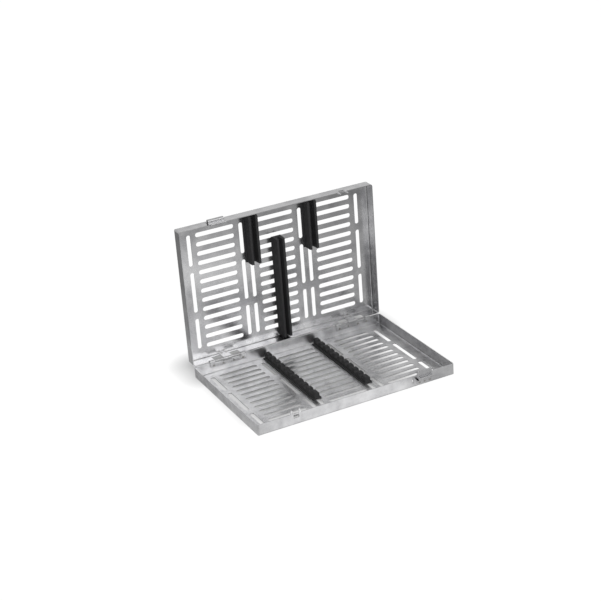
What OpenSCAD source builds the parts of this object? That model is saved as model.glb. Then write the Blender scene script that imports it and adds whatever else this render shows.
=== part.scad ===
// Instrument tray: two shallow perforated steel trays hinged along one long side.
// Millimetres, +Z up. The lid stands open at a right angle, as in the photograph.
// The lid's pieces are drawn in the closed position and turned about the hinge pin.

/* [Trays] */
// Outside length of both trays, along X
tray_length = 280; // [276:1:300]
// Outside width of both trays, along Y
tray_width = 188; // [186:1:200]
// Height of the lower tray's walls
base_height = 15.5; // [15:0.5:20]
// Height of the upper tray's walls
lid_height = 16.5; // [16:0.5:20]
// Thickness of the sheet steel
sheet = 1; // [0.8:0.1:1.2]
// Outside radius of the bend between floor and walls
bend_radius = 2.6; // [2.2:0.1:3.2]
// Outside radius of the upright corners
corner_radius = 3; // [2.6:0.1:4]
// Gap between the two rims when the tray is shut
rim_gap = 0.3; // [0.3:0.05:0.6]

/* [Slots] */
// Rows of long slots from front to back
row_count = 13; // [9:2:13]
// Distance from a long side to the first row's middle
row_margin = 16.36; // [15.8:0.01:17.4]
// Shift of the whole slot pattern towards the back
row_shift = -0.7; // [-1.2:0.1:0]
// Distance from a short side to the outer line of slots
side_margin = 18.2; // [17:0.1:20]
// Width of a long slot
row_slot_width = 6.2; // [5.6:0.1:6.6]
// Width of a slot that runs from front to back
column_slot_width = 5.5; // [5.2:0.1:5.8]
// Length of the two end slots in each line
column_end_length = 43; // [38:0.5:44]
// Distance from a long side to the end slots
column_margin = 14.1; // [12:0.1:16]
// Bridge between two slots of a line
column_bridge = 8.9; // [7:0.1:10]
// Distance from a block of rows to the line of slots beside it
column_gap = 9.7; // [9.2:0.1:10]
// Distance between the paired lines of slots
column_pair = 12; // [11.5:0.1:12.5]

/* [Comb rails] */
// Width of a comb rail's foot
comb_foot_width = 12.4; // [11.6:0.2:12.8]
// Thickness of a comb rail's foot
comb_foot_thick = 1.8; // [1.4:0.1:2.2]
// Width of the comb itself
comb_width = 7.6; // [6.8:0.2:8.2]
// Height of the comb above the floor
comb_height = 9; // [8:0.5:10]
// Depth of a notch
notch_depth = 4.6; // [4:0.1:5]
// Width of a notch
notch_width = 6.6; // [6:0.1:7]
// Free length in front of the first notch's row
comb_front_overhang = 12.9; // [11:0.1:13.4]
// Free length behind the last notch's row
comb_back_overhang = 11.4; // [9:0.1:11.6]

/* [Hold-down rails] */
// Width of a short rail's foot, in the lid
hold_foot_width = 17.4; // [16.4:0.2:17.6]
// Width across the two lips of a short rail
hold_lip_width = 14; // [13:0.2:14.8]
// Width of the foot of the middle rail
centre_foot_width = 14.4; // [14:0.2:15.4]
// Width across the two lips of the middle rail
centre_lip_width = 12.4; // [11.8:0.2:12.6]
// How far the lips stand from the lid's plate
hold_height = 15.4; // [13:0.2:15.6]
// Thickness of the foot
hold_foot_thick = 2; // [1.6:0.1:2.4]
// Thickness of a lip
lip_thick = 3.8; // [3:0.1:4.2]
// Depth left under the channel between the lips
channel_height = 5; // [3.4:0.1:6]
// Length of a short rail
hold_length = 67; // [60:1:70]
// Corner cut from the lips at a short rail's front end
lip_corner = 2.4; // [1.6:0.2:3]
// Distance from the front wall's inner bend to a short rail
hold_front_gap = 0.1; // [0.1:0.1:1]

/* [Hinges] */
// Distance from the left end to the middle of the left hinge
hinge_left_inset = 49; // [46:1:52]
// Distance from the right end to the middle of the right hinge
hinge_right_inset = 43; // [42:1:46]
// Length of each hinge
hinge_length = 52; // [50:0.5:54]
// Length of each of the two outer knuckles
outer_knuckle = 7; // [6:0.5:8]
// Width of the lid leaf with the middle knuckle
lid_strap = 12; // [10:0.5:13]
// Radius of the hinge pin
pin_radius = 1.25; // [1.1:0.05:1.35]
// Thickness of the hinge leaves
leaf_thick = 0.8; // [0.7:0.05:0.9]
// Height of the plain part of a lower leaf
leaf_height = 5.2; // [4.6:0.1:6]
// Height of the two windows beside the lid leaf
window_height = 10; // [8:0.5:11]
// How far the lid leaf reaches past the windows
leaf_overlap = 3; // [2.4:0.1:3.4]
// Width of a stop tab on the rear rim
stop_width = 10; // [8:0.5:12]
// How far a stop tab stands out
stop_reach = 3.4; // [2.8:0.1:4]
// Distance from a hinge to the stop tab beside it
stop_gap = 5; // [4:0.5:8]

/* [Latches] */
// Distance from the left end to the middle of the left latches
latch_left_inset = 53; // [50:1:56]
// Distance from the right end to the middle of the right latches
latch_right_inset = 45; // [42:1:48]
// Width of a latch tongue
tongue_width = 22; // [18:1:24]
// How far a tongue's tip reaches past the rim gap
tongue_reach = 6; // [5.6:0.1:6.4]
// How far the finger hump stands out from a tongue
hump_depth = 4.6; // [4:0.1:5]
// Outside radius of the round finger hump
hump_radius = 2.5; // [2.2:0.1:2.7]
// Width of the catch tooth on a tongue
tooth_width = 6; // [5:0.5:7]
// Distance between a catch's two prongs
prong_spacing = 11; // [10:0.5:12]
// Width of a prong
prong_width = 2.5; // [2:0.1:3]
// How far the prongs rise above the rim
prong_rise = 4.5; // [4:0.1:4.8]
// Distance from the lower tongue's middle to the relief slit in the wall
slit_offset = 17; // [14:0.5:18]
// Width of the relief slit
slit_width = 1.8; // [1.2:0.1:2.4]
// Depth of the relief slit below the rim
slit_depth = 9.5; // [6:0.5:10]

/* [Hidden] */
$fn = 32;
play = 0.05;
plate_gap = 0.3;
slot_faces = 16;
rim_z = base_height;
parting_z = rim_z + rim_gap / 2;
lid_rim_z = rim_z + rim_gap;
lid_top_z = lid_rim_z + lid_height;
wall_y = tray_width / 2;
inner_y = wall_y - sheet;
axis_y = wall_y + 0.3;
axis_z = parting_z;
knuckle_bore = pin_radius + play;
knuckle_radius = knuckle_bore + leaf_thick;
notch_reach = knuckle_radius + 0.3;
hinge_left_x = -tray_length / 2 + hinge_left_inset;
hinge_right_x = tray_length / 2 - hinge_right_inset;
latch_left_x = -tray_length / 2 + latch_left_inset;
latch_right_x = tray_length / 2 - latch_right_inset;
row_pitch = (tray_width - 2 * row_margin) / (row_count - 1);
row_length = (tray_length / 2 - side_margin - column_pair - 3 * column_gap) / 1.5;
column_pitch = tray_width / 2 - column_margin - column_end_length / 2;
column_middle_length = 2 * column_pitch - column_end_length - 2 * column_bridge;
column_inner_x = row_length / 2 + column_gap;
column_middle_x = column_inner_x + column_pair;
block_x = column_middle_x + column_gap + row_length / 2;
column_outer_x = block_x + row_length / 2 + column_gap;
comb_last_row = (row_count - 1) / 2;
comb_first_row = -floor(row_count / 4);
comb_front_y = row_shift + comb_first_row * row_pitch - comb_front_overhang;
comb_back_y = row_shift + comb_last_row * row_pitch + comb_back_overhang;
hold_front_y = -inner_y + bend_radius - sheet + hold_front_gap;
hold_back_y = hold_front_y + hold_length;
centre_front_y = comb_front_y + 2;
centre_back_y = inner_y - 2.8;
foot_low_z = 3;
foot_high_z = 7;
tongue_root_z = 7.3;
tongue_joint_z = tongue_root_z + 0.4;
tongue_in_y = -wall_y - plate_gap;
tongue_out_y = tongue_in_y - leaf_thick;
tongue_tip_z = parting_z + tongue_reach;
tooth_z = parting_z + 3.6;
tooth_half = 1;
catch_window_low_z = 2 * parting_z - tooth_z - tooth_half - 1.6;
catch_window_high_z = 2 * parting_z - tooth_z + tooth_half + 1.1;
catch_low_z = 5;
hinge_cut = hinge_length + 1.6;
leaf_low_z = axis_z - notch_reach - leaf_height;
stop_left_x = hinge_left_x + hinge_cut / 2 + stop_gap + stop_width / 2;
stop_right_x = hinge_right_x - hinge_cut / 2 - stop_gap - stop_width / 2;
front_reach = wall_y + plate_gap + leaf_thick + hump_depth;
back_reach = axis_y + lid_top_z - axis_z;
centre_y = (front_reach - back_reach) / 2;

// Everything is drawn about the lower tray's middle, then centred on the open outline.
module seated() {
    translate([0, centre_y, 0]) children();
}

// Turns a piece of the closed lid up about the hinge pin.
module opened() {
    seated()
        translate([0, axis_y, axis_z])
            rotate([-90, 0, 0])
                translate([0, -axis_y, -axis_z])
                    children();
}

// Flips a front latch piece to the lid's side of the rim gap.
module flipped() {
    translate([0, 0, 2 * parting_z]) mirror([0, 0, 1]) children();
}

module slot_across(cx, cy, l, w) {
    translate([cx, cy]) {
        square([l - w, w], center = true);
        for (s = [-1, 1])
            translate([s * (l - w) / 2, 0]) circle(d = w, $fn = slot_faces);
    }
}

module slot_along(cx, cy, l, w) {
    translate([cx, cy]) {
        square([w, l - w], center = true);
        for (s = [-1, 1])
            translate([0, s * (l - w) / 2]) circle(d = w, $fn = slot_faces);
    }
}

// Three blocks of long slots and six lines of slots that run front to back.
module slot_pattern() {
    half = (row_count - 1) / 2;
    for (k = [-half : half])
        for (bx = [-block_x, 0, block_x])
            slot_across(bx, row_shift + k * row_pitch, row_length, row_slot_width);
    for (s = [-1, 1])
        for (cx = [column_inner_x, column_middle_x, column_outer_x]) {
            slot_along(s * cx, row_shift, column_middle_length, column_slot_width);
            for (e = [-1, 1])
                slot_along(s * cx, row_shift + e * column_pitch, column_end_length, column_slot_width);
        }
}

module rounded_plan(l, w, r) {
    square([l - 2 * r, w], center = true);
    square([l, w - 2 * r], center = true);
    for (sx = [-1, 1])
        for (sy = [-1, 1])
            translate([sx * (l / 2 - r), sy * (w / 2 - r)]) circle(r = r);
}

module rounded_side(l, h, r) {
    translate([-l / 2, r]) square([l, h - r]);
    translate([-l / 2 + r, 0]) square([l - 2 * r, h]);
    for (s = [-1, 1])
        translate([s * (l / 2 - r), r]) circle(r = r);
}

module pan_form(l, w, h, rc, rb) {
    intersection() {
        linear_extrude(h) rounded_plan(l, w, rc);
        translate([0, w / 2, 0]) rotate([90, 0, 0]) linear_extrude(w) rounded_side(l, h, rb);
        translate([-l / 2, 0, 0]) rotate([90, 0, 90]) linear_extrude(l) rounded_side(w, h, rb);
    }
}

// One bent sheet-steel pan, floor down, with the slot pattern cut through its floor.
module pan(h) {
    difference() {
        pan_form(tray_length, tray_width, h, corner_radius, bend_radius);
        translate([0, 0, sheet])
            pan_form(tray_length - 2 * sheet, tray_width - 2 * sheet, h,
                corner_radius - sheet, bend_radius - sheet);
        translate([0, 0, -1]) linear_extrude(sheet + 2) slot_pattern();
    }
}

// Opening in a front wall that the other tray's catch tooth enters.
module catch_window(cx) {
    translate([cx - tooth_width / 2 - 0.9, -wall_y - 1, catch_window_low_z])
        cube([tooth_width + 1.8, sheet + 2, catch_window_high_z - catch_window_low_z]);
}

module base_tray() {
    color([0.78, 0.79, 0.8]) seated() {
        difference() {
            pan(base_height);
            for (hx = [hinge_left_x, hinge_right_x])
                translate([hx - hinge_cut / 2, inner_y - 1, axis_z - notch_reach])
                    cube([hinge_cut, sheet + 2, base_height]);
            catch_window(latch_left_x);
            // Relief slit beside the spring tongue, cut down from the rim.
            translate([latch_right_x - slit_offset - slit_width / 2, -wall_y - 1, rim_z - slit_depth])
                cube([slit_width, sheet + 2, slit_depth + 1]);
        }
        // Two tabs bent outwards from the rear rim, on which the open lid leans.
        for (sx = [stop_left_x, stop_right_x])
            translate([sx - stop_width / 2, wall_y - sheet / 2, rim_z - sheet])
                cube([stop_width, sheet / 2 + stop_reach, sheet]);
    }
}

module lid_pan() {
    translate([0, 0, lid_top_z]) mirror([0, 0, 1]) pan(lid_height);
}

module lid_tray() {
    window = (hinge_length - lid_strap) / 2 - outer_knuckle;
    color([0.78, 0.79, 0.8]) opened() difference() {
        lid_pan();
        for (hx = [hinge_left_x, hinge_right_x]) {
            translate([hx - hinge_cut / 2, inner_y - 1, lid_rim_z - 1])
                cube([hinge_cut, sheet + 2, axis_z + notch_reach - lid_rim_z + 1]);
            for (s = [-1, 1])
                translate([hx + s * (lid_strap + window) / 2 - window / 2, inner_y - 1, lid_rim_z - 1])
                    cube([window, sheet + 2, window_height + 1]);
        }
        flipped() catch_window(latch_right_x);
    }
}

// Black silicone comb: a foot on the floor, a notched body, keels in the slots below.
module comb_section() {
    f = comb_foot_width / 2;
    b = comb_width / 2;
    t = comb_foot_thick;
    h = comb_height;
    polygon([[-f, 0], [-f, t - 0.6], [-f + 0.6, t], [-b, t], [-b + 0.4, h - 1], [-b + 1.2, h],
        [b - 1.2, h], [b - 0.4, h - 1], [b, t], [f - 0.6, t], [f, t - 0.6], [f, 0]]);
}

module keel(cy, l) {
    low = max(comb_front_y + 0.4, cy - l / 2 + 2.2);
    high = min(comb_back_y - 0.4, cy + l / 2 - 2.2);
    translate([-column_slot_width / 2 + 0.1, low, 0.1])
        cube([column_slot_width - 0.2, high - low, sheet]);
}

module comb_rail(cx) {
    color([0.09, 0.09, 0.1]) seated() translate([cx, 0, 0]) {
        difference() {
            translate([0, comb_back_y, sheet])
                rotate([90, 0, 0]) linear_extrude(comb_back_y - comb_front_y) comb_section();
            for (k = [comb_first_row : comb_last_row])
                translate([-comb_width, row_shift + k * row_pitch, sheet + comb_height - notch_depth]) {
                    translate([0, 0, notch_width / 2])
                        rotate([0, 90, 0]) cylinder(d = notch_width, h = 2 * comb_width);
                    translate([0, -notch_width / 2, notch_width / 2])
                        cube([2 * comb_width, notch_width, comb_height]);
                }
        }
        keel(row_shift, column_middle_length);
        for (e = [-1, 1])
            keel(row_shift + e * column_pitch, column_end_length);
    }
}

module comb_rail_left() {
    comb_rail(-column_inner_x);
}

module comb_rail_right() {
    comb_rail(column_inner_x);
}

// Cross-section of a lid rail: a flat foot and two thick soft lips with a channel between them.
module lip_section(foot, lips) {
    f = foot / 2;
    p = lips / 2;
    t = hold_foot_thick;
    h = hold_height;
    c = channel_height;
    i = p - lip_thick;
    polygon([[-f, 0], [-f, -t + 0.4], [-f + 0.4, -t], [-p - 0.2, -t], [-p, -h + 0.8], [-p + 0.8, -h],
        [-i - 0.6, -h], [-i, -h + 0.6], [-i + 0.8, -c], [i - 0.8, -c], [i, -h + 0.6], [i + 0.6, -h],
        [p - 0.8, -h], [p, -h + 0.8], [p + 0.2, -t], [f - 0.4, -t], [f, -t + 0.4], [f, 0]]);
}

module lip_rail(foot, lips, front_y, back_y) {
    translate([0, back_y, lid_top_z - sheet])
        rotate([90, 0, 0]) linear_extrude(back_y - front_y) lip_section(foot, lips);
}

// A short rail's keels sit in the line of slots above it.
module lid_keel(cy, l) {
    low = max(hold_front_y + 0.4, cy - l / 2 + 2.2);
    high = min(hold_back_y - 0.4, cy + l / 2 - 2.2);
    translate([-column_slot_width / 2 + 0.1, low, lid_top_z - sheet - 0.1])
        cube([column_slot_width - 0.2, high - low, sheet]);
}

module short_rail(cx) {
    tip_z = lid_top_z - sheet - hold_height;
    color([0.09, 0.09, 0.1]) opened() translate([cx, 0, 0]) {
        difference() {
            lip_rail(hold_foot_width, hold_lip_width, hold_front_y, hold_back_y);
            translate([-hold_lip_width, hold_front_y, tip_z])
                rotate([90, 0, 90]) linear_extrude(2 * hold_lip_width)
                    polygon([[-1, -1], [lip_corner + 1, -1], [-1, lip_corner + 1]]);
        }
        lid_keel(row_shift - column_pitch, column_end_length);
    }
}

module hold_down_left() {
    short_rail(-column_inner_x);
}

module hold_down_right() {
    short_rail(column_middle_x);
}

module hold_down_centre() {
    color([0.09, 0.09, 0.1]) opened() {
        lip_rail(centre_foot_width, centre_lip_width, centre_front_y, centre_back_y);
        for (k = [-3, 1, 5])
            translate([-5, row_shift + k * row_pitch - row_slot_width / 2 + 0.15, lid_top_z - sheet - 0.1])
                cube([10, row_slot_width - 0.3, sheet]);
    }
}

// One hinge knuckle, centred on the pin and bored for it.
module knuckle(cx, l) {
    translate([cx - l / 2, axis_y, axis_z]) rotate([0, 90, 0]) difference() {
        cylinder(r = knuckle_radius, h = l);
        translate([0, 0, -1]) cylinder(r = knuckle_bore, h = l + 2);
    }
}

// Strap of leaf steel on the inner face of the rear wall, from z_low to z_high.
module leaf_strap(cx, l, z_low, z_high) {
    difference() {
        translate([cx - l / 2, inner_y - leaf_thick, z_low]) cube([l, leaf_thick, z_high - z_low]);
        translate([cx - l / 2 - 1, axis_y, axis_z])
            rotate([0, 90, 0]) cylinder(r = knuckle_bore, h = l + 2);
    }
}

// Short bridge that joins a strap to its knuckle where the rolled steel leaves the wall.
module knuckle_bridge(cx, l, s) {
    low = s > 0 ? axis_z : axis_z - knuckle_radius - 0.3;
    difference() {
        translate([cx - l / 2, inner_y - leaf_thick, low])
            cube([l, axis_y - inner_y + leaf_thick - knuckle_radius + 0.5, knuckle_radius + 0.3]);
        translate([cx - l / 2 - 1, axis_y, axis_z])
            rotate([0, 90, 0]) cylinder(r = knuckle_bore + 0.1, h = l + 2);
    }
}

module hinge_leaf_base(hx) {
    half = hinge_length / 2;
    color([0.7, 0.71, 0.73]) seated() {
        leaf_strap(hx, hinge_length, leaf_low_z, axis_z - notch_reach);
        for (s = [-1, 1]) {
            cx = hx + s * (half - outer_knuckle / 2);
            leaf_strap(cx, outer_knuckle, leaf_low_z, axis_z);
            knuckle_bridge(cx, outer_knuckle, -1);
            knuckle(cx, outer_knuckle);
        }
    }
}

module hinge_leaf_base_left() {
    hinge_leaf_base(hinge_left_x);
}

module hinge_leaf_base_right() {
    hinge_leaf_base(hinge_right_x);
}

module hinge_leaf_lid(hx) {
    color([0.7, 0.71, 0.73]) opened() {
        leaf_strap(hx, lid_strap, axis_z, lid_rim_z + window_height + leaf_overlap);
        knuckle_bridge(hx, lid_strap, 1);
        knuckle(hx, lid_strap);
    }
}

module hinge_leaf_lid_left() {
    hinge_leaf_lid(hinge_left_x);
}

module hinge_leaf_lid_right() {
    hinge_leaf_lid(hinge_right_x);
}

module hinge_pin(hx) {
    half = hinge_length / 2;
    color([0.62, 0.63, 0.65]) seated() translate([hx, axis_y, axis_z]) rotate([0, 90, 0]) {
        translate([0, 0, -half - 0.1]) cylinder(r = pin_radius, h = hinge_length + 0.2);
        for (s = [-1, 1])
            translate([0, 0, s * (half + 0.3) - 0.2]) cylinder(r = pin_radius + 0.35, h = 0.4);
    }
}

module hinge_pin_left() {
    hinge_pin(hinge_left_x);
}

module hinge_pin_right() {
    hinge_pin(hinge_right_x);
}

// Plate with two prongs inside a front wall. The prongs locate the other tray's wall.
module catch_plate(cx) {
    l = prong_spacing + prong_width + 3;
    translate([cx, 0, 0]) {
        difference() {
            translate([-l / 2, -inner_y, catch_low_z])
                cube([l, leaf_thick, rim_z - 0.3 - catch_low_z]);
            translate([-cx, 0, 0]) catch_window(cx);
            translate([-tooth_width / 2 - 0.9, -inner_y - 1, catch_window_low_z])
                cube([tooth_width + 1.8, 3, catch_window_high_z - catch_window_low_z]);
        }
        for (s = [-1, 1]) {
            translate([s * prong_spacing / 2 - prong_width / 2, -inner_y, rim_z - 4])
                cube([prong_width, leaf_thick, 4]);
            translate([s * prong_spacing / 2 - prong_width / 2, -inner_y + plate_gap, rim_z - 4])
                cube([prong_width, leaf_thick, 4 + prong_rise - prong_width / 2]);
            translate([s * prong_spacing / 2, -inner_y + plate_gap, rim_z + prong_rise - prong_width / 2])
                rotate([-90, 0, 0]) cylinder(d = prong_width, h = leaf_thick);
        }
    }
}

module catch_base() {
    color([0.74, 0.75, 0.77]) seated() catch_plate(latch_left_x);
}

module catch_lid() {
    color([0.74, 0.75, 0.77]) opened() flipped() catch_plate(latch_right_x);
}

// Foot of a spring tongue, spot-welded to the outside of a front wall.
module latch_foot(cx) {
    translate([cx - tongue_width / 2, -wall_y - leaf_thick, foot_low_z])
        cube([tongue_width, leaf_thick, foot_high_z - foot_low_z]);
}

module latch_foot_base() {
    color([0.74, 0.75, 0.77]) seated() latch_foot(latch_right_x);
}

module latch_foot_lid() {
    color([0.74, 0.75, 0.77]) opened() flipped() latch_foot(latch_left_x);
}

// Half-round loop of the strip that stands out from a tongue, as thick as the strip.
module hump_section(y, z) {
    inside = hump_radius - leaf_thick;
    difference() {
        union() {
            translate([y, z]) circle(r = hump_radius);
            translate([y, z - hump_radius]) square([tongue_in_y - y, 2 * hump_radius]);
        }
        translate([y, z]) circle(r = inside);
        translate([y, z - inside]) square([tongue_in_y - y + 1, 2 * inside]);
    }
}

// Side view of a spring tongue: root, finger hump, plate and curled tip.
module tongue_section() {
    o = tongue_out_y;
    i = tongue_in_y;
    r = tongue_root_z;
    t = tongue_tip_z;
    hump_z = r + 3.3;
    top_z = hump_z + hump_radius - leaf_thick;
    translate([o, r]) square([leaf_thick, hump_z - hump_radius + leaf_thick - r]);
    hump_section(o - hump_depth + hump_radius, hump_z);
    translate([o, top_z]) square([leaf_thick, t - 1.2 - top_z]);
    translate([i - 1.2, t - 1.2]) difference() {
        circle(r = 1.2);
        circle(r = 0.5);
        translate([-2, -2]) square([2, 2]);
    }
}

module latch_tongue(cx) {
    translate([cx - tongue_width / 2, 0, 0])
        rotate([90, 0, 90]) linear_extrude(tongue_width) tongue_section();
    translate([cx - tooth_width / 2, tongue_in_y - leaf_thick / 2, tooth_z - tooth_half])
        cube([tooth_width, leaf_thick / 2 + plate_gap + sheet - 0.3, 2 * tooth_half]);
}

module latch_tongue_base() {
    color([0.74, 0.75, 0.77]) seated() latch_tongue(latch_right_x);
}

module latch_tongue_lid() {
    color([0.74, 0.75, 0.77]) opened() flipped() latch_tongue(latch_left_x);
}

base_tray();
comb_rail_left();
comb_rail_right();
hinge_leaf_base_left();
hinge_leaf_base_right();
hinge_pin_left();
hinge_pin_right();
catch_base();
latch_foot_base();
latch_tongue_base();
lid_tray();
hold_down_left();
hold_down_right();
hold_down_centre();
hinge_leaf_lid_left();
hinge_leaf_lid_right();
catch_lid();
latch_foot_lid();
latch_tongue_lid();
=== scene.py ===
from math import radians

import bmesh
import bpy
from mathutils import Matrix, Vector


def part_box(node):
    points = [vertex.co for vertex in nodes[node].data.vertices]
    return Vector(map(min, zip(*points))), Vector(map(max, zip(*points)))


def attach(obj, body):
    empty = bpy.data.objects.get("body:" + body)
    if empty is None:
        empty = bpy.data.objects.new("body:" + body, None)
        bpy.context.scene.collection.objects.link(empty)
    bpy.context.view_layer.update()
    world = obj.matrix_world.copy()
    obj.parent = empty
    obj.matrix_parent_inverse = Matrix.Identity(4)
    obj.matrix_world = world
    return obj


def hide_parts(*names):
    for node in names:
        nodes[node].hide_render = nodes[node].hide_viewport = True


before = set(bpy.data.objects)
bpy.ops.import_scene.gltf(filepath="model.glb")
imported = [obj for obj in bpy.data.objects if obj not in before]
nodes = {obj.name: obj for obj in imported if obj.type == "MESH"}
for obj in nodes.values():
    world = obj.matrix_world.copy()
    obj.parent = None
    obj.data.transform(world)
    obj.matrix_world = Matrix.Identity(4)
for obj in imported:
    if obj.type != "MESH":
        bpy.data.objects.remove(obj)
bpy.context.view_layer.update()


# The view. A product photograph taken from the front left and above, with a long lens.
# The place, turn and lens come from the corners and slot ends of the tray in the photograph.
view = bpy.data.cameras.new("view")
view.lens = 89.58
view.sensor_width = 36.0
view.shift_x = -0.0023
view.shift_y = -0.0171
camera = bpy.data.objects.new("view", view)
bpy.context.scene.collection.objects.link(camera)
camera.location = (-0.76678, -1.545395, 0.88271)
camera.rotation_euler = (1.15388376, 0.07092638, -0.48239397)
bpy.context.scene.camera = camera


# The studio. A dim tent round a white sweep, with one big soft box in front. The sweep carries a painted
# pool of light, brightest in front of the tray and dimmer further off, so that bare steel reads as steel.
def srgb(code):
    parts = [int(code[i:i + 2], 16) / 255 for i in (1, 3, 5)]
    return tuple(v / 12.92 if v <= 0.04045 else ((v + 0.055) / 1.055) ** 2.4 for v in parts) + (1.0,)


def add(tree, kind, links=None, inputs=None, **settings):
    made = tree.nodes.new(kind)
    for name, value in settings.items():
        setattr(made, name, value)
    for socket, value in (inputs or {}).items():
        made.inputs[socket].default_value = value
    for socket, source in (links or {}).items():
        tree.links.new(source, made.inputs[socket])
    return made


bpy.context.scene.view_settings.view_transform = "Standard"
world = bpy.data.worlds.new("light_tent")
bpy.context.scene.world = world
world.use_nodes = True
tree = world.node_tree
tree.nodes.clear()
# The tent is dim at the front left and bright at the back right.
bright_side = (0.6, 0.75, 0.28)
place = add(tree, "ShaderNodeTexCoord")
turn = add(tree, "ShaderNodeVectorMath", {0: place.outputs["Generated"]}, {1: bright_side},
           operation="DOT_PRODUCT")
side = add(tree, "ShaderNodeMapRange", {"Value": turn.outputs["Value"]}, {"From Min": -1.0, "From Max": 1.0})
cloth = add(tree, "ShaderNodeValToRGB", {"Fac": side.outputs["Result"]})
steps = cloth.color_ramp.elements
steps[0].position, steps[0].color = 0.1, srgb("#4C4C4C")
steps[1].position, steps[1].color = 1.0, srgb("#C8C8C8")
for spot, code in ((0.4, "#AEAEAE"), (0.75, "#B8B8B8")):
    steps.new(spot).color = srgb(code)
tent = add(tree, "ShaderNodeBackground", {"Color": cloth.outputs["Color"]}, {"Strength": 1.0})
add(tree, "ShaderNodeOutputWorld", {"Surface": tent.outputs["Background"]})


def soft_box(name, place, target, width, depth, power):
    lamp = bpy.data.lights.new(name, "AREA")
    lamp.shape = "RECTANGLE"
    lamp.size, lamp.size_y = width, depth
    lamp.energy = power
    made = bpy.data.objects.new(name, lamp)
    bpy.context.scene.collection.objects.link(made)
    made.location = place
    made.rotation_euler = (Vector(target) - made.location).to_track_quat("-Z", "Y").to_euler()
    made.visible_camera = False
    return made


# The floor of the lower tray, its rear wall and the lid's foot mirror the front box.
soft_box("front_box", place=(0.12, -1.05, 0.62), target=(0.0, 0.0, 0.05), width=0.85, depth=0.75, power=2.45)
key = soft_box("key", place=(0.9, -0.7, 1.4), target=(0.0, 0.0, 0.05), width=1.2, depth=1.2, power=4.5)
key.visible_glossy = False
# A weak fill from beside the camera reaches into the channels of the black rails.
fill = soft_box("fill", place=(-0.6, -1.2, 0.75), target=(0.0, 0.0, 0.08), width=0.7, depth=0.7, power=11.0)
fill.visible_glossy = False

sweep_paint = bpy.data.materials.new("sweep_paint")
sweep_paint.use_nodes = True
tree = sweep_paint.node_tree
tree.nodes.clear()
paint = add(tree, "ShaderNodeBsdfDiffuse", inputs={"Color": srgb("#C2C2C2")})
place = add(tree, "ShaderNodeTexCoord")
ray = add(tree, "ShaderNodeLightPath")


# The floor's distance from a rectangle, given by its centre and half its sides.
def beyond(centre, half):
    away = add(tree, "ShaderNodeVectorMath", {0: place.outputs["Object"]}, {1: centre}, operation="SUBTRACT")
    away = add(tree, "ShaderNodeVectorMath", {0: away.outputs["Vector"]}, operation="ABSOLUTE")
    away = add(tree, "ShaderNodeVectorMath", {0: away.outputs["Vector"]}, {1: half}, operation="SUBTRACT")
    away = add(tree, "ShaderNodeVectorMath", {0: away.outputs["Vector"]}, {1: (0.0, 0.0, 0.0)},
               operation="MAXIMUM")
    distance = add(tree, "ShaderNodeVectorMath", {0: away.outputs["Vector"]}, operation="LENGTH")
    return distance.outputs["Value"]


# Through the inner slots and the hinge windows the camera sees the paint in the tray's own shade, under the
# middle of the tray and close behind it. Over the next 47 mm it turns to the white backdrop glow, which
# under the outer parts of the tray is painted light in the outer slots.
below = beyond(centre=(-0.0155, 0.022, 0.0), half=(0.0845, 0.073, 0.0))
behind = beyond(centre=(0.0035, 0.106, 0.0), half=(0.1185, 0.016, 0.0))
outside = add(tree, "ShaderNodeMath", {0: below, 1: behind}, operation="MINIMUM")
backdrop_and_painted_light_share = add(tree, "ShaderNodeMapRange", {"Value": outside.outputs["Value"]},
                 {"From Min": 0.0, "From Max": 0.047, "To Min": 0.04, "To Max": 0.94})
white = add(tree, "ShaderNodeEmission", inputs={"Color": srgb("#FFFFFF"), "Strength": 1.06})
seen = add(tree, "ShaderNodeMath", {0: ray.outputs["Is Camera Ray"], 1: ray.outputs["Is Transmission Ray"]},
           operation="MAXIMUM")
seen = add(tree, "ShaderNodeMath", {0: seen.outputs["Value"], 1: backdrop_and_painted_light_share.outputs["Result"]},
           operation="MULTIPLY")
floor = add(tree, "ShaderNodeMixShader", {0: seen.outputs["Value"], 1: paint.outputs["BSDF"],
                                          2: white.outputs["Emission"]})

# The steel mirrors a pool of light painted on the sweep in front of the tray, a glow that only reflections
# see. The pool is narrower across than deep.
pool_centre = (-0.022, -0.135, 0.0)
pool_squeeze = (1.3, 1.0, 1.0)
off = add(tree, "ShaderNodeVectorMath", {0: place.outputs["Object"]}, {1: pool_centre}, operation="SUBTRACT")
off = add(tree, "ShaderNodeVectorMath", {0: off.outputs["Vector"]}, {1: pool_squeeze}, operation="MULTIPLY")
off = add(tree, "ShaderNodeVectorMath", {0: off.outputs["Vector"]}, operation="LENGTH")
pool = add(tree, "ShaderNodeValToRGB", {"Fac": off.outputs["Value"]})
steps = pool.color_ramp.elements
steps[0].position, steps[0].color = 0.12, srgb("#F2F2F2")
steps[1].position, steps[1].color = 0.65, srgb("#767676")
for spot, code in ((0.16, "#C4C4C4"), (0.24, "#AAAAAA"), (0.34, "#A4A4A4"), (0.45, "#909090")):
    steps.new(spot).color = srgb(code)
painted_pool_glow = add(tree, "ShaderNodeEmission", {"Color": pool.outputs["Color"]}, {"Strength": 1.0})
# Under the tray, where the floor lies in its shadow, the painted pool is weakened, so the walls of the slots
# mirror little of it.
from_tray = beyond(centre=(0.0, -0.0058, 0.0), half=(0.139, 0.0935, 0.0))
painted_pool_share = add(tree, "ShaderNodeMapRange", {"Value": from_tray},
          {"From Min": 0.0, "From Max": 0.004, "To Min": 0.2, "To Max": 0.9})
mirrored = add(tree, "ShaderNodeMath", {0: ray.outputs["Is Glossy Ray"], 1: painted_pool_share.outputs["Result"]},
               operation="MULTIPLY")
floor = add(tree, "ShaderNodeMixShader", {0: mirrored.outputs["Value"], 1: floor.outputs["Shader"],
                                          2: painted_pool_glow.outputs["Emission"]})
add(tree, "ShaderNodeOutputMaterial", {"Surface": floor.outputs["Shader"]})

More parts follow.
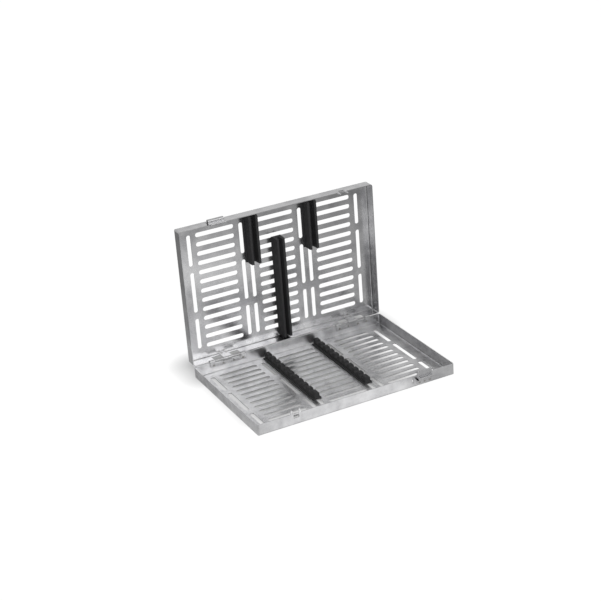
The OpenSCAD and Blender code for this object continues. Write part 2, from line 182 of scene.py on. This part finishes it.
# The sweep lies 1.2 mm under the tray, so that no black line of contact shows in the slots.
sweep_half_width = 8.0
sweep_gap = 0.0012
shape = bmesh.new()
bmesh.ops.create_grid(shape, x_segments=1, y_segments=1, size=sweep_half_width)
sweep_mesh = bpy.data.meshes.new("sweep")
shape.to_mesh(sweep_mesh)
shape.free()
sweep = bpy.data.objects.new("sweep", sweep_mesh)
bpy.context.scene.collection.objects.link(sweep)
sweep_mesh.materials.append(sweep_paint)
sweep.location.z = -sweep_gap


# The two pans. Each is one blank of 1 mm stainless sheet, pierced and bent, then
# electropolished: a fine grain along the length and softly blurred reflections.
cloud_mm = 25.0
speck_mm = 0.625


def steel(name, tint, dark, rough_low, rough_high, grain_mm, stretch):
    made = bpy.data.materials.new(name)
    made.use_nodes = True
    tree = made.node_tree
    tree.nodes.clear()
    place = add(tree, "ShaderNodeTexCoord")
    # The grain's width is grain_mm. It is longer by the three factors in stretch.
    lines = add(tree, "ShaderNodeMapping", {"Vector": place.outputs["Object"]},
                {"Scale": tuple(1000 / grain_mm / s for s in stretch)})
    grain = add(tree, "ShaderNodeTexNoise", {"Vector": lines.outputs["Vector"]},
                {"Scale": 1.0, "Detail": 4.0, "Roughness": 0.6})
    # The clouds are the slight differences that electropolishing and handling leave.
    clouds = add(tree, "ShaderNodeTexNoise", {"Vector": place.outputs["Object"]},
                 {"Scale": 1000 / cloud_mm, "Detail": 5.0, "Roughness": 0.6})
    # The specks are the faint orange-peel of the polished sheet.
    specks = add(tree, "ShaderNodeTexNoise", {"Vector": place.outputs["Object"]},
                 {"Scale": 1000 / speck_mm, "Detail": 2.0})
    tone = add(tree, "ShaderNodeValToRGB", {"Fac": clouds.outputs["Fac"]})
    steps = tone.color_ramp.elements
    steps[0].position, steps[0].color = 0.34, srgb(dark)
    steps[1].position, steps[1].color = 0.62, srgb(tint)
    streak = add(tree, "ShaderNodeMixRGB", {"Color1": tone.outputs["Color"], "Color2": grain.outputs["Fac"]},
                 {"Fac": 0.24}, blend_type="SOFT_LIGHT")
    blur = add(tree, "ShaderNodeMapRange", {"Value": grain.outputs["Fac"]},
               {"From Min": 0.3, "From Max": 0.7, "To Min": rough_low, "To Max": rough_high})
    cloud_blur = add(tree, "ShaderNodeMapRange", {"Value": clouds.outputs["Fac"]},
                     {"From Min": 0.3, "From Max": 0.7, "To Min": -0.04, "To Max": 0.04})
    rough = add(tree, "ShaderNodeMath", {0: blur.outputs["Result"], 1: cloud_blur.outputs["Result"]},
                operation="ADD")
    fine = add(tree, "ShaderNodeBump", {"Height": grain.outputs["Fac"]},
               {"Strength": 0.05, "Distance": 0.0001})
    peel = add(tree, "ShaderNodeBump", {"Height": specks.outputs["Fac"], "Normal": fine.outputs["Normal"]},
               {"Strength": 0.06, "Distance": 0.0001})
    skin = add(tree, "ShaderNodeBsdfPrincipled", {
        "Base Color": streak.outputs["Color"], "Roughness": rough.outputs["Value"],
        "Normal": peel.outputs["Normal"]}, {"Metallic": 1.0})
    add(tree, "ShaderNodeOutputMaterial", {"Surface": skin.outputs["BSDF"]})
    return made


def dress(node, material):
    piece = nodes[node]
    for slot in piece.material_slots:
        slot.material = material


# The grain of both pans runs along the length. Instruments have slid about in the lower pan,
# so it is hazier than the lid.
dress("base_tray", steel("worn_stainless_sheet", tint="#F3F3F4", dark="#CFCFD1",
                         rough_low=0.27, rough_high=0.36, grain_mm=0.25, stretch=(60, 1, 1)))
dress("lid_tray", steel("brushed_stainless_sheet", tint="#EEEEEF", dark="#CECED0",
                        rough_low=0.18, rough_high=0.26, grain_mm=0.25, stretch=(60, 1, 1)))


# The hinges. Stainless strip rolled round a drawn wire pin, spot-welded inside the rear walls.
# The strip is a little greyer than the pans. The wire is greyer still, with fine drawing marks
# along its length.
hinge_steel = steel("rolled_hinge_strip", tint="#E8E8E9", dark="#CECED0",
                    rough_low=0.22, rough_high=0.3, grain_mm=0.2, stretch=(40, 1, 1))
pin_steel = steel("drawn_hinge_wire", tint="#DEDEDF", dark="#CACACC",
                  rough_low=0.2, rough_high=0.28, grain_mm=0.15, stretch=(60, 1, 1))
for side in ("left", "right"):
    dress("hinge_leaf_base_" + side, hinge_steel)
    dress("hinge_leaf_lid_" + side, hinge_steel)
    dress("hinge_pin_" + side, pin_steel)


# The latches. Half-hard spring steel, stamped and bent, satin from tumbling.
# The grain runs upright, across the grain of the pans.
latch_steel = steel("tumbled_spring_steel", tint="#E0E0E1", dark="#CCCCCE",
                    rough_low=0.2, rough_high=0.36, grain_mm=0.2, stretch=(1, 1, 20))
for node in ("latch_foot_base", "latch_tongue_base", "latch_foot_lid", "latch_tongue_lid"):
    dress(node, latch_steel)
# The catches are blanked from strip with a satin face, rougher than the other steel. Their paler tint is a
# painted highlight, so that the prongs read lighter.
catch_steel_painted_lighter = steel("satin_strip_painted_lighter", tint="#FAFAFB", dark="#E8E8EA",
                    rough_low=0.34, rough_high=0.46, grain_mm=0.2, stretch=(1, 1, 20))
for node in ("catch_base", "catch_lid"):
    dress(node, catch_steel_painted_lighter)


# Spot welds. They hold the hinge leaves, latch feet and catch plates to the walls. Each is a
# shallow round dent of 3 mm with a raised lip, left a little darker by the heat.
weld_steel = steel("heat_tinted_spot_weld", tint="#C4C2BE", dark="#A6A4A1",
                   rough_low=0.26, rough_high=0.4, grain_mm=0.15, stretch=(1, 1, 1))
# From the middle of the dent over the lip to the edge, and back underneath: radius and height.
weld_outline = ((0.0, 0.00003), (0.0008, 0.00004), (0.0011, 0.00014), (0.00135, 0.00013),
                (0.0015, 0.0), (0.0, 0.0))


def spot_welds(name, body, spots, turn):
    shape = bmesh.new()
    for spot in spots:
        start = len(shape.verts)
        rim = [shape.verts.new((radius, 0.0, height)) for radius, height in weld_outline]
        dish = [shape.edges.new(pair) for pair in zip(rim, rim[1:])]
        bmesh.ops.spin(shape, geom=rim + dish, cent=(0, 0, 0), axis=(0, 0, 1), angle=radians(360), steps=20,
                       use_merge=True)
        shape.verts.ensure_lookup_table()
        bmesh.ops.transform(shape, matrix=Matrix.Translation(spot) @ turn, verts=shape.verts[start:])
    bmesh.ops.remove_doubles(shape, verts=shape.verts, dist=0.000004)
    bmesh.ops.recalc_face_normals(shape, faces=shape.faces)
    for face in shape.faces:
        face.smooth = True
    mesh = bpy.data.meshes.new(name)
    shape.to_mesh(mesh)
    shape.free()
    mesh.materials.append(weld_steel)
    made = bpy.data.objects.new(name, mesh)
    bpy.context.scene.collection.objects.link(made)
    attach(made, body)


def middle_of(low, high):
    return (low[0] + high[0]) / 2


# The way each row of welds faces: the camera's side, the back, up, or down.
to_front = Matrix.Rotation(radians(90), 4, "X")
to_back = Matrix.Rotation(radians(-90), 4, "X")
upright = Matrix.Identity(4)
hung = Matrix.Rotation(radians(180), 4, "X")
# The spots of a row, along the length from the plate's middle.
leaf_row = (-0.021, -0.0075, 0.0075, 0.021)
strap_row = (-0.0034, 0.0034)
foot_row = (-0.0075, 0, 0.0075)
catch_row = (-0.0055, 0.0055)
# How far a row lies from the plate's edge.
leaf_margin = 0.0024
strap_margin = 0.0016
foot_margin = 0.002
catch_margin = 0.0021
# The prongs of a catch stand out from its plate, so the plate's own face is given here.
catch_face_y = -0.097825
catch_face_z = 0.20215

for side in ("left", "right"):
    low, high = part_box("hinge_leaf_base_" + side)
    middle = middle_of(low, high)
    spot_welds("hinge_welds_base_" + side, "base",
               [(middle + x, low[1], low[2] + leaf_margin) for x in leaf_row], to_front)
    low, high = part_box("hinge_leaf_lid_" + side)
    spot_welds("hinge_welds_lid_" + side, "lid",
               [(middle + x, high[1] - strap_margin, high[2]) for x in strap_row], upright)
low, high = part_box("latch_foot_base")
middle = middle_of(low, high)
spot_welds("latch_welds_base", "base",
           [(middle + x, low[1], low[2] + foot_margin) for x in foot_row], to_front)
low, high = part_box("catch_base")
middle = middle_of(low, high)
spot_welds("catch_welds_base", "base",
           [(middle + x, catch_face_y, low[2] + catch_margin) for x in catch_row], to_back)
low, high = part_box("latch_foot_lid")
middle = middle_of(low, high)
spot_welds("latch_welds_lid", "lid",
           [(middle + x, low[1] + foot_margin, high[2]) for x in foot_row], upright)
low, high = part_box("catch_lid")
middle = middle_of(low, high)
spot_welds("catch_welds_lid", "lid",
           [(middle + x, high[1] - catch_margin, catch_face_z) for x in catch_row], hung)


# The rails. Black silicone rubber, extruded and die-cut, matt with a faint bloom of dust
# in patches of 5 to 6 mm and a skin of fine pores about half a millimetre apart.
patches_per_metre = 180.0
pores_per_metre = 2200.0
silicone = bpy.data.materials.new("matt_black_silicone")
silicone.use_nodes = True
tree = silicone.node_tree
tree.nodes.clear()
place = add(tree, "ShaderNodeTexCoord")
bloom = add(tree, "ShaderNodeTexNoise", {"Vector": place.outputs["Object"]},
            {"Scale": patches_per_metre, "Detail": 6.0, "Roughness": 0.65})
pores = add(tree, "ShaderNodeTexNoise", {"Vector": place.outputs["Object"]},
            {"Scale": pores_per_metre, "Detail": 2.0})
tone = add(tree, "ShaderNodeMixRGB", {"Fac": bloom.outputs["Fac"]},
           {"Color1": srgb("#262627"), "Color2": srgb("#3A3A3B")})
blur = add(tree, "ShaderNodeMapRange", {"Value": bloom.outputs["Fac"]},
           {"From Min": 0.3, "From Max": 0.7, "To Min": 0.5, "To Max": 0.68})
skin_marks = add(tree, "ShaderNodeBump", {"Height": pores.outputs["Fac"]},
                 {"Strength": 0.15, "Distance": 0.0001})
skin = add(tree, "ShaderNodeBsdfPrincipled", {
    "Base Color": tone.outputs["Color"], "Roughness": blur.outputs["Result"],
    "Normal": skin_marks.outputs["Normal"]}, {"IOR": 1.41})
add(tree, "ShaderNodeOutputMaterial", {"Surface": skin.outputs["BSDF"]})


# Rubber has no sharp edge: each rail is its solid with the edges rounded by 0.3 mm.
# Triangles that lie flat together are joined first, so that only true edges are rounded.
rounding = 0.0003
flat = radians(1)
true_edge = radians(25)
for node, body in (("comb_rail_left", "base"), ("comb_rail_right", "base"), ("hold_down_left", "lid"),
                   ("hold_down_right", "lid"), ("hold_down_centre", "lid")):
    shape = bmesh.new()
    shape.from_mesh(nodes[node].data)
    bmesh.ops.remove_doubles(shape, verts=shape.verts, dist=0.000005)
    bmesh.ops.dissolve_limit(shape, angle_limit=flat, verts=shape.verts, edges=shape.edges)
    edges = [e for e in shape.edges if e.is_manifold and e.calc_face_angle() > true_edge]
    bmesh.ops.bevel(shape, geom=edges, offset=rounding, affect="EDGES", segments=2, profile=0.5,
                    material=-1, clamp_overlap=True)
    mesh = bpy.data.meshes.new(node + "_rounded")
    shape.to_mesh(mesh)
    shape.free()
    mesh.materials.clear()
    mesh.materials.append(silicone)
    rail = bpy.data.objects.new(node + "_rounded", mesh)
    bpy.context.scene.collection.objects.link(rail)
    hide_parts(node)
    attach(rail, body)
